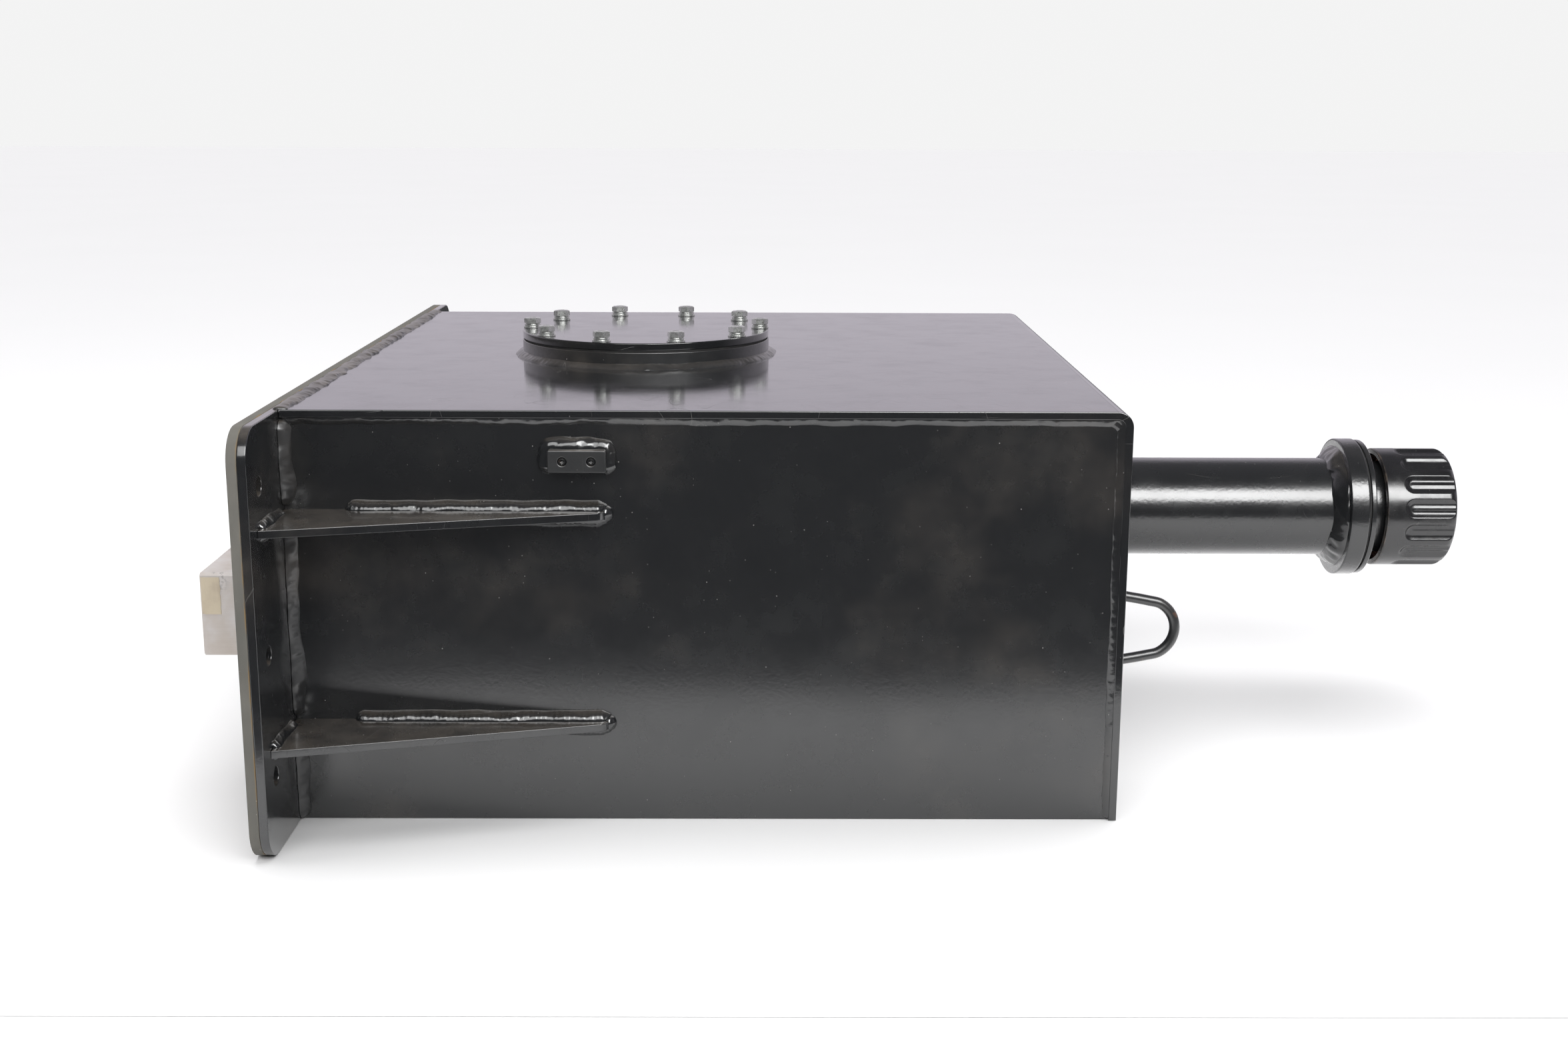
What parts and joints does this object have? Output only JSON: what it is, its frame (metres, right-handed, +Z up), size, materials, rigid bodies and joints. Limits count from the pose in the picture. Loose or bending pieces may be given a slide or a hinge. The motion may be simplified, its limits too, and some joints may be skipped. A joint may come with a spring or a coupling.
{
  "type": "hydraulic reservoir",
  "caption": "Welded black steel hydraulic oil reservoir on a mounting plate with gussets, with a bolted round cover on top and a side filler pipe with a fluted breather cap.",
  "frame": {"origin": "centre of the whole part's footprint, on the plane its flat bottom stands on", "axes": "+X from the mounting plate along the filler pipe to the cap, +Z up, -Y the side with the sensor pad and the tie-down loop"},
  "size_m": [1.0576, 0.83, 0.3511],
  "materials": {
    "tank_paint": "gloss",
    "filler_paint": "gloss",
    "cap_plastic": "satin",
    "mounting_pad": "matte",
    "block_steel": "satin",
    "zinc": "satin",
    "strainer_steel": "satin",
    "seal_rubber": "matte",
    "filter_paper": "matte",
    "copper_ring": "satin"
  },
  "bodies": {
    "root": {"shell_wrap": "tank_paint", "floor_plate": "tank_paint", "front_plate": "tank_paint", "rear_plate": "tank_paint", "mounting_plate": "tank_paint", "mounting_pad": "mounting_pad", "gusset_front_upper": "tank_paint", "gusset_rear_upper": "tank_paint", "gusset_front_lower": "tank_paint", "gusset_rear_lower": "tank_paint", "cover_flange_ring": "tank_paint", "cover_gasket": "seal_rubber", "access_cover": "tank_paint", "cover_bolt_01": "zinc", "cover_bolt_02": "zinc", "cover_bolt_03": "zinc", "cover_bolt_04": "zinc", "cover_bolt_05": "zinc", "cover_bolt_06": "zinc", "cover_bolt_07": "zinc", "cover_bolt_08": "zinc", "cover_bolt_09": "zinc", "cover_bolt_10": "zinc", "cover_washer_01": "zinc", "cover_washer_02": "zinc", "cover_washer_03": "zinc", "cover_washer_04": "zinc", "cover_washer_05": "zinc", "cover_washer_06": "zinc", "cover_washer_07": "zinc", "cover_washer_08": "zinc", "cover_washer_09": "zinc", "cover_washer_10": "zinc", "filler_pipe": "filler_paint", "filler_flange": "filler_paint", "filler_gasket": "seal_rubber", "filler_neck": "filler_paint", "filler_strainer": "strainer_steel", "neck_screw_01": "zinc", "neck_screw_02": "zinc", "neck_screw_03": "zinc", "neck_screw_04": "zinc", "tie_down_loop": "filler_paint", "sensor_pad": "tank_paint", "pad_plug_left": "tank_paint", "pad_plug_right": "tank_paint", "port_block": "block_steel", "suction_strainer": "strainer_steel", "return_diffuser": "strainer_steel", "baffle_plate": "tank_paint", "drain_boss": "tank_paint", "drain_plug": "zinc"},
    "cap_lift": {"cap_seal_plate": "zinc", "cap_gasket": "seal_rubber"},
    "cap_turn": {"cap_shell": "cap_plastic", "cap_lug_plate": "zinc", "cap_spring": "strainer_steel", "breather_element": "filter_paper", "cap_retaining_ring": "copper_ring"}
  },
  "joints": [
    {"name": "cap_pull", "type": "slide", "parent": "root", "child": "cap_lift", "axis": [1, 0, 0], "range_m": [0, 0.09]},
    {"name": "cap_lock", "type": "hinge", "parent": "cap_lift", "child": "cap_turn", "pos_m": [0.4988, 0, 0.179], "axis": [-1, 0, 0], "range_deg": [0, 50]}
  ]
}
